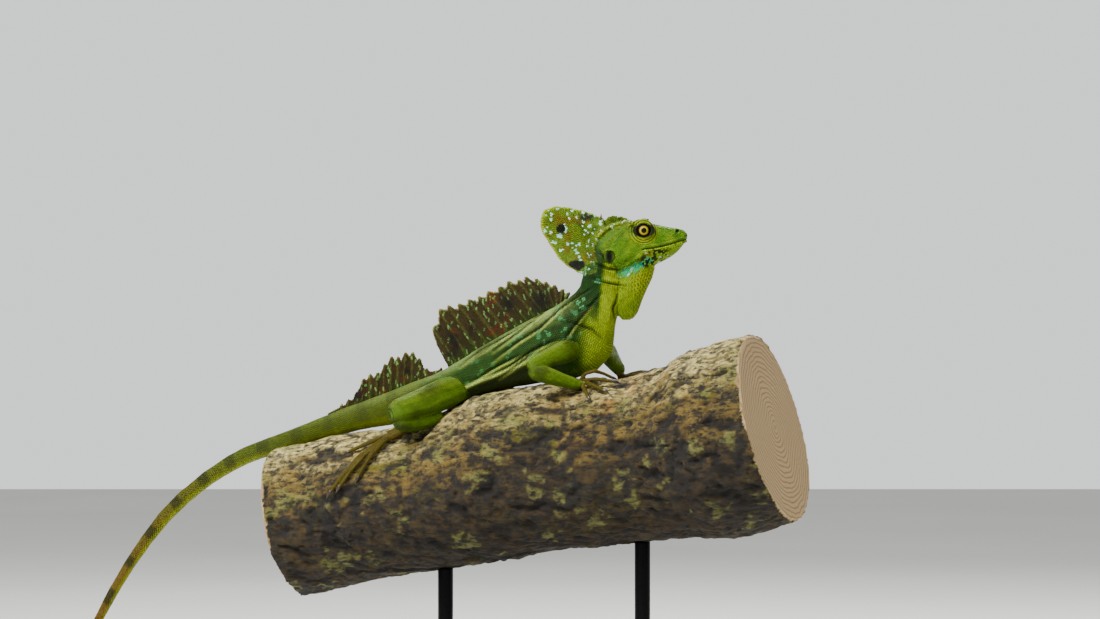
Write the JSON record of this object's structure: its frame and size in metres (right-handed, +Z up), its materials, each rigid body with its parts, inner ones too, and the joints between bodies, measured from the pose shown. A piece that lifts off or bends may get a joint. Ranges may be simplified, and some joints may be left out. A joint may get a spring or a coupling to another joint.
{
  "type": "lizard model",
  "caption": "Life-size green basilisk lizard with raised head, sail and tail crest, lying on a short cut branch held over a round base by rods.",
  "frame": {"origin": "centre of the round base's underside, on the floor", "axes": "+X towards the animal's head end, +Y away from the side seen in the picture, +Z up"},
  "size_m": [0.6136, 0.2379, 0.3933],
  "materials": {
    "skin": "painted green scales",
    "crest": "painted olive green, pale spots",
    "sail": "painted brown olive, dark streaks",
    "eye": "glossy yellow with round black pupil",
    "ear": "smooth dull green",
    "bark": "rough grey brown bark, sawn ends",
    "rod": "satin black",
    "base": "dark stained, satin"
  },
  "bodies": {
    "root": {"stand_base": "base", "stand_rod_left": "rod", "stand_rod_right": "rod", "perch": "bark", "tail_4_tip": "skin", "tail_3_rear": "skin", "tail_2_middle": "skin", "tail_1_base": "skin", "torso": "skin", "neck": "skin", "head": "skin", "lower_jaw": "skin", "eye_right": "eye", "ear_right": "ear", "eye_left": "eye", "ear_left": "ear", "throat_pouch": "skin", "head_crest_front": "crest", "head_crest_rear": "crest", "back_sail": "sail", "tail_crest": "sail", "upper_arm_right": "skin", "forearm_right": "skin", "hand_right": "skin", "thigh_right": "skin", "shin_right": "skin", "foot_right": "skin", "upper_arm_left": "skin", "forearm_left": "skin", "hand_left": "skin", "thigh_left": "skin", "shin_left": "skin", "foot_left": "skin"}
  },
  "joints": []
}
